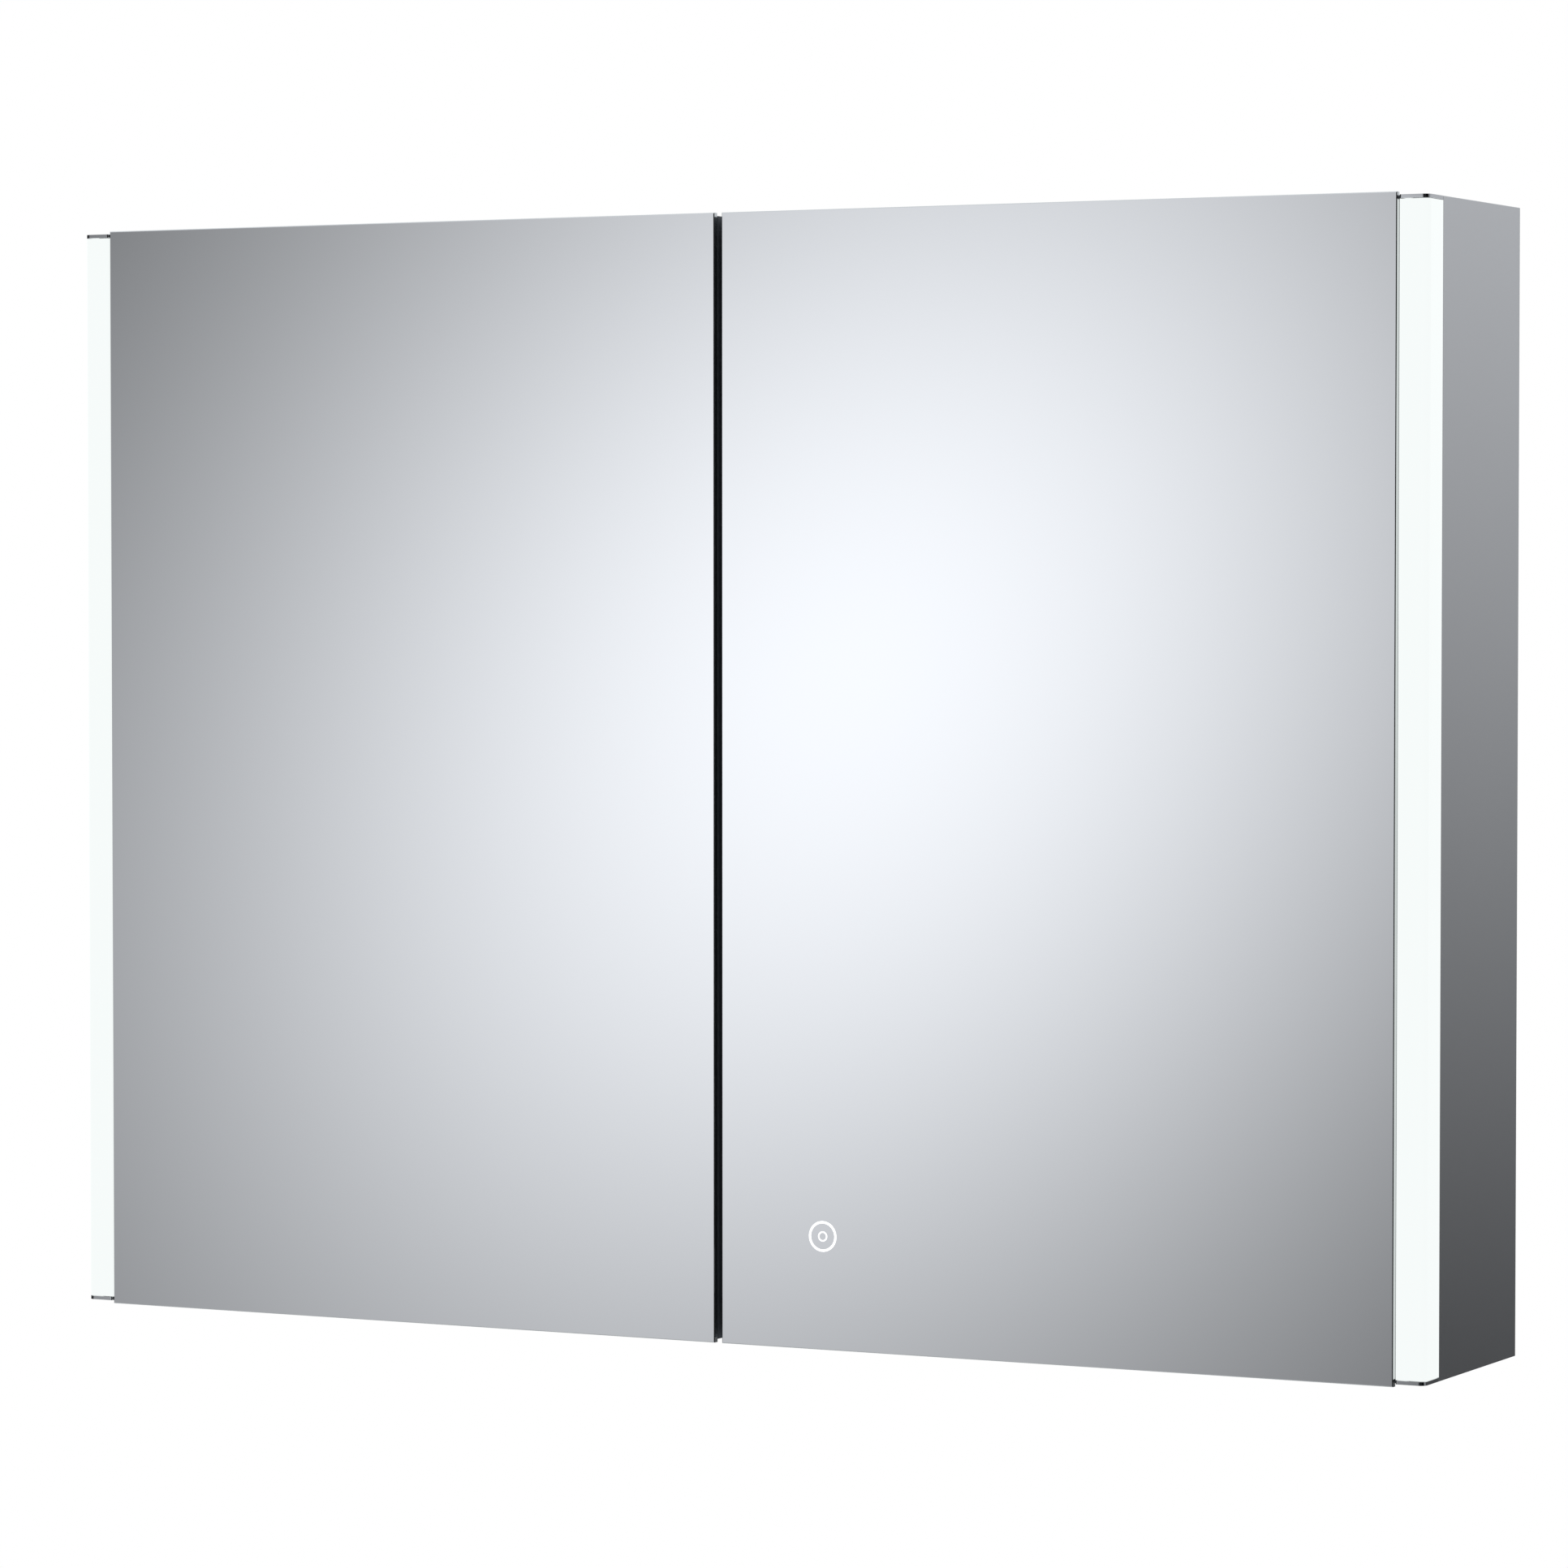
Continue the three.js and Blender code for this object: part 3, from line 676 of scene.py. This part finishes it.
def make_shelf_pin_sleeves():
    """Rows of small sleeves in the inner walls, so that the shelves can be moved."""
    hole, flange, height, edge = 2.6 * MM, 3.6 * MM, 0.5 * MM, 0.15 * MM
    plug_height = 0.12 * MM
    plug_profile = [(0, 0), (hole, 0), (hole, plug_height), (0, plug_height)]
    sleeve = mesh_from(ring(hole, flange, height, edge, segments=32), "pin_sleeve")
    plug = mesh_from(lathe(plug_profile, segments=24), "pin_plug")
    for side, sign in SIDES.items():
        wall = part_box(f"inner_wall_{side}")[0 if sign > 0 else 1].x
        places = []
        for level in LEVELS:
            for row in ("front", "rear"):
                low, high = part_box(f"shelf_pin_{level}_{row}_{side}")
                middle = Vector((wall, (low.y + high.y) / 2, (low.z + high.z) / 2))
                for step in (-2, -1, 1, 2):
                    place = middle + Vector((0, 0, step * SLEEVE_PITCH))
                    places.append((place, (-sign, 0, 0), 0.0))
        scatter(f"pin_sleeves_{side}", sleeve, places, "cabinet", "hinge_steel")
        scatter(f"pin_holes_{side}", plug, places, "cabinet", "dark_plastic")


def make_back_rivets():
    """Rivets round the back panel. Their heads are sunk, and stand a little proud of the back."""
    radius, height, sunk, inset = 3.0 * MM, 0.9 * MM, 0.6 * MM, 9 * MM
    columns, rows = 7, 5
    profile = [
        (0, 0),
        (radius, 0),
        (0.9 * radius, 0.5 * height),
        (0.55 * radius, height),
        (0.35 * radius, height),
        (0.3 * radius, 0.6 * height),
        (0, 0.6 * height),
    ]
    rivet = mesh_from(lathe(profile), "rivet_head")
    low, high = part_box("back_panel")
    places = []
    for i, x in enumerate(evenly(low.x, high.x, columns, inset)):
        for j, z in enumerate(evenly(low.z, high.z, rows, inset)):
            if i in (0, columns - 1) or j in (0, rows - 1):
                places.append(((x, high.y - sunk, z), (0, 1, 0), 0.0))
    scatter("back_panel_rivets", rivet, places, "cabinet", "aluminium")


def make_cover_screws():
    """Screws along the middle of the driver cover."""
    screw = cross_screw(3.2 * MM, 1.7 * MM)
    turn_step = 0.5
    low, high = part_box("driver_cover")
    cover_z = (low.z + high.z) / 2
    places = []
    for i, x in enumerate(COVER_SCREW_XS):
        places.append(((x, low.y, cover_z), (0, -1, 0), turn_step * i))
    scatter("cover_screws", screw, places, "cabinet", "hinge_steel")


def make_driver_ribs():
    """Raised cooling ribs on the driver's top."""
    low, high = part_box("led_driver")
    ribs, margin, edge = 9, 14 * MM, 0.3 * MM
    width, shorter, height, lift = 1.6 * MM, 10 * MM, 1.2 * MM, 0.5 * MM
    size = Matrix.Diagonal((width, (high.y - low.y) - shorter, height, 1.0))
    bm = bmesh.new()
    for x in evenly(low.x, high.x, ribs, margin):
        place = Matrix.Translation((x, (low.y + high.y) / 2, high.z + lift))
        bmesh.ops.create_cube(bm, size=1.0, matrix=place @ size)
    edges = list(bm.edges)
    bmesh.ops.bevel(bm, geom=edges, offset=edge, segments=2, affect="EDGES", profile=0.5)
    place_piece("driver_ribs", bm, "cabinet", "white_plastic")


# ---------------------------------------------------------------- studio


def mirrored_view():
    """Right, up and forward of the camera, as the front mirrors turn them round."""
    turn = VIEW_TURN.to_matrix()
    right, up, back = (turn @ Vector(axis) for axis in ((1, 0, 0), (0, 1, 0), (0, 0, 1)))
    flip = Vector((1, -1, 1))
    return right * flip, up * flip, -back * flip


def make_camera():
    data = bpy.data.cameras.new("camera")
    data.lens = LENS
    data.sensor_width = SENSOR
    data.clip_end = FAR_CLIP
    camera = bpy.data.objects.new("camera", data)
    camera.location = CAMERA_PLACE
    camera.rotation_euler = VIEW_TURN
    scene.collection.objects.link(camera)
    scene.camera = camera


def make_glow(graph, direction):
    """A soft oval light, seen in the door mirrors."""
    right, up, forward = mirrored_view()
    ahead = graph.dot(direction, forward)
    depth = graph.math("MAXIMUM", ahead, 0.05)
    slope_across = graph.math("DIVIDE", graph.dot(direction, right), depth)
    slope_up = graph.math("DIVIDE", graph.dot(direction, up), depth)
    across = graph.math("SUBTRACT", slope_across, GLOW_ACROSS)
    upward = graph.math("SUBTRACT", slope_up, GLOW_UP)
    cosine, sine = math.cos(GLOW_TILT), math.sin(GLOW_TILT)
    terms = []
    for axis, radius in zip(((cosine, sine), (-sine, cosine)), GLOW_RADII):
        share_across = graph.math("MULTIPLY", across, axis[0])
        share_up = graph.math("MULTIPLY", upward, axis[1])
        along = graph.math("ADD", share_across, share_up)
        scaled = graph.math("DIVIDE", along, radius)
        terms.append(graph.math("MULTIPLY", scaled, scaled))
    spread = graph.math("POWER", graph.math("ADD", *terms), GLOW_POWER)
    glow = graph.math("EXPONENT", graph.math("MULTIPLY", spread, -1.0))
    in_front = graph.math("GREATER_THAN", ahead, GLOW_CUT)
    return graph.math("MULTIPLY", graph.math("MULTIPLY", glow, GLOW_LEVEL), in_front)


def make_room(graph, direction, elevation, azimuth):
    """A dim room round the oval light, lighter further off, with a dark card front right."""
    forward = mirrored_view()[2]
    off_axis = graph.math("ARCCOSINE", graph.dot(direction, forward))
    room = graph.ramp_degrees(off_axis, 13, 32, 0.075, 0.42)
    far = graph.ramp_degrees(off_axis, 18, 35)
    low = graph.ramp_degrees(elevation, -17, -3, 0.2, 0.0)
    room = graph.math("MULTIPLY_ADD", far, low, room)
    card_side = graph.window(azimuth, (-52, -44), (-12, -4))
    card_height = graph.window(elevation, (-14, -9), (6, 11))
    card = graph.math("MULTIPLY", card_side, card_height)
    return graph.math("MULTIPLY", room, graph.ramp(card, 0.0, 1.0, 1.0, 0.05))


def make_studio_light():
    """A studio that is white to the camera. The front mirrors reflect the oval light in its dim
    room. Behind the cabinet is a light wall that darkens towards the floor, for its sides."""
    world = bpy.data.worlds.new("studio")
    scene.world = world
    world.use_nodes = True
    graph = Graph(world.node_tree)
    direction = graph.add("ShaderNodeTexCoord").outputs["Generated"]
    parts = graph.separate(direction)
    elevation = graph.math("ARCSINE", parts["Z"])
    azimuth = graph.math("ARCTAN2", parts["Y"], parts["X"])

    room = make_room(graph, direction, elevation, azimuth)
    wall = graph.ramp_degrees(elevation, -10.5, 9.5, 0.055, 0.97)
    behind = graph.ramp(parts["Y"], 0.15, 0.5)
    base = graph.add("ShaderNodeMix", data_type="FLOAT")
    for socket, value in zip((0, 2, 3), (behind, room, wall)):
        graph.feed(base.inputs[socket], value)
    ceiling = graph.ramp_degrees(elevation, 18, 50, 0.0, 0.8)
    lit = graph.math("ADD", base.outputs[0], make_glow(graph, direction))
    tint = graph.add("ShaderNodeVectorMath", operation="SCALE")
    tint.inputs[0].default_value = STUDIO_TINT
    graph.feed(tint.inputs["Scale"], graph.math("ADD", lit, ceiling))

    seen = graph.add("ShaderNodeLightPath").outputs["Is Camera Ray"]
    studio = graph.add("ShaderNodeBackground")
    white = graph.add("ShaderNodeBackground")
    graph.feed(studio.inputs["Color"], tint.outputs[0])
    white.inputs["Color"].default_value = rgb(1, 1, 1)
    pick = graph.add("ShaderNodeMixShader")
    for socket, value in zip(pick.inputs, (seen, studio.outputs[0], white.outputs[0])):
        graph.feed(socket, value)
    output = graph.add("ShaderNodeOutputWorld")
    graph.feed(output.inputs[0], pick.outputs[0])


def make_soft_lamp(name, place, size, watts):
    """A square area lamp aimed at the origin, out of sight of the camera and of reflections."""
    data = bpy.data.lights.new(name, "AREA")
    data.size = size
    data.energy = watts
    lamp = bpy.data.objects.new(name, data)
    lamp.location = place
    lamp.rotation_euler = (-Vector(place)).to_track_quat("-Z", "Y").to_euler()
    lamp.visible_glossy = False
    lamp.visible_camera = False
    scene.collection.objects.link(lamp)


def make_floor():
    bm = bmesh.new()
    bmesh.ops.create_circle(bm, cap_ends=True, segments=128, radius=FLOOR_RADIUS)
    mesh = bpy.data.meshes.new("floor")
    bm.to_mesh(mesh)
    bm.free()
    floor = bpy.data.objects.new("floor", mesh)
    floor.location.z = FLOOR_Z
    scene.collection.objects.link(floor)
    material, graph, shader = new_material("floor", Roughness=0.7)
    low, high = rgb(0.50, 0.50, 0.50), rgb(0.54, 0.54, 0.54)
    graph.feed(shader.inputs["Base Color"], graph.mix(graph.noise(1.5), low, high))
    mesh.materials.append(material)


def make_studio():
    scene.view_settings.view_transform = "Standard"
    make_studio_light()
    for name, (place, size, watts) in LAMPS.items():
        make_soft_lamp(name, place, size, watts)
    make_floor()


make_camera()
dress_cad_nodes()
make_touch_mark_pieces()
make_hinge_screws()
make_shelf_pin_sleeves()
make_back_rivets()
make_cover_screws()
make_driver_ribs()
make_studio()
